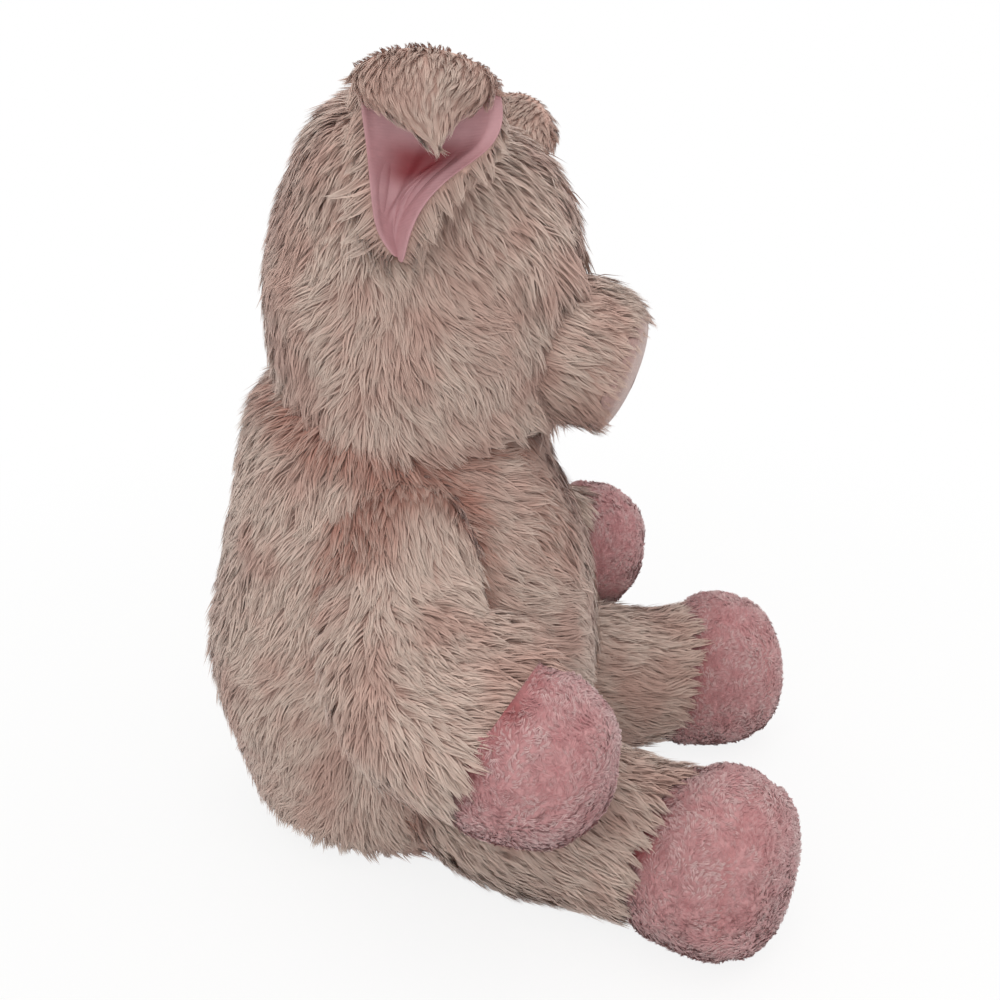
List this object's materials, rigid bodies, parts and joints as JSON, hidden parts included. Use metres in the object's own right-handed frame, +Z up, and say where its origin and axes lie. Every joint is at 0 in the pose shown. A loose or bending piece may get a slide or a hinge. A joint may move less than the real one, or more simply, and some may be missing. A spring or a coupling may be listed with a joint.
{
  "type": "plush pig",
  "caption": "Seated stuffed toy pig in long fur with velour hooves, satin-lined folded ears, a short snout and sewn joints that bend at neck, ears, arms and legs.",
  "frame": {"origin": "on the floor, under the middle of the seat and the feet", "axes": "+Z up, the pig faces -Y, its right side at -X"},
  "size_m": [0.2516, 0.2321, 0.3075],
  "materials": {
    "fur": "long pile, beige pink, matte",
    "velour": "short crushed pile, dusty pink, soft sheen",
    "satin": "smooth satin weave, dusty rose",
    "felt": "short brushed pile, mauve beige",
    "stuffing": "polyester fibre fill",
    "thread": "sewing thread",
    "eye": "polished black",
    "washer": "moulded, plain"
  },
  "bodies": {
    "torso": {"body_front": "fur", "body_back_left": "fur", "body_back_right": "fur", "body_stuffing": "stuffing"},
    "neck": {"neck_seam": "thread"},
    "head": {"head_crown": "fur", "head_side_left": "fur", "head_side_right": "fur", "head_stuffing": "stuffing", "eye_right": "eye", "eye_left": "eye", "eye_washer_right": "washer", "eye_washer_left": "washer", "snout_band": "fur", "snout_stuffing": "stuffing", "snout_disc": "felt", "nostril_right": "thread", "nostril_left": "thread"},
    "ear_right": {"ear_right_back": "fur", "ear_right_lining": "satin"},
    "ear_left": {"ear_left_back": "fur", "ear_left_lining": "satin"},
    "arm_right": {"arm_right_outer": "fur", "arm_right_inner": "fur", "arm_right_stuffing": "stuffing", "hand_right_cover": "velour", "hand_right_palm": "velour"},
    "arm_left": {"arm_left_outer": "fur", "arm_left_inner": "fur", "arm_left_stuffing": "stuffing", "hand_left_cover": "velour", "hand_left_palm": "velour"},
    "leg_right": {"leg_right_top": "fur", "leg_right_under": "fur", "leg_right_stuffing": "stuffing", "foot_right_cover": "velour", "foot_right_sole": "velour"},
    "leg_left": {"leg_left_top": "fur", "leg_left_under": "fur", "leg_left_stuffing": "stuffing", "foot_left_cover": "velour", "foot_left_sole": "velour"}
  },
  "joints": [
    {"name": "neck_turn", "type": "hinge", "parent": "torso", "child": "neck", "pos_m": [0, 0.043, 0.145], "axis": [0, -0.2419, 0.9703], "range_deg": [-20, 20], "stiffness_Nm_per_rad": 1},
    {"name": "head_nod", "type": "hinge", "parent": "neck", "child": "head", "pos_m": [0, 0.043, 0.145], "axis": [-1, 0, 0], "range_deg": [-6, 6], "stiffness_Nm_per_rad": 3},
    {"name": "ear_right_flop", "type": "hinge", "parent": "head", "child": "ear_right", "pos_m": [-0.0532, 0.023, 0.244], "axis": [0.173, -0.9811, -0.0872], "range_deg": [-8, 14], "stiffness_Nm_per_rad": 0.12},
    {"name": "ear_left_flop", "type": "hinge", "parent": "head", "child": "ear_left", "pos_m": [0.0532, 0.023, 0.244], "axis": [0.2258, 0.9717, 0.0687], "range_deg": [-8, 14], "stiffness_Nm_per_rad": 0.12},
    {"name": "arm_right_raise", "type": "hinge", "parent": "torso", "child": "arm_right", "pos_m": [-0.072, 0.03, 0.141], "axis": [-0.9703, 0, 0.2419], "range_deg": [-1.5, 50], "stiffness_Nm_per_rad": 1.2},
    {"name": "arm_left_raise", "type": "hinge", "parent": "torso", "child": "arm_left", "pos_m": [0.072, 0.03, 0.141], "axis": [-0.9703, 0, -0.2419], "range_deg": [-1.5, 50], "stiffness_Nm_per_rad": 1.2},
    {"name": "leg_right_raise", "type": "hinge", "parent": "torso", "child": "leg_right", "pos_m": [-0.046, -0.002, 0.03646], "axis": [-0.9397, 0.342, 0], "range_deg": [-4, 1.5], "stiffness_Nm_per_rad": 3},
    {"name": "leg_left_raise", "type": "hinge", "parent": "torso", "child": "leg_left", "pos_m": [0.046, -0.002, 0.03646], "axis": [-0.9397, -0.342, 0], "range_deg": [-4, 1.5], "stiffness_Nm_per_rad": 3}
  ]
}
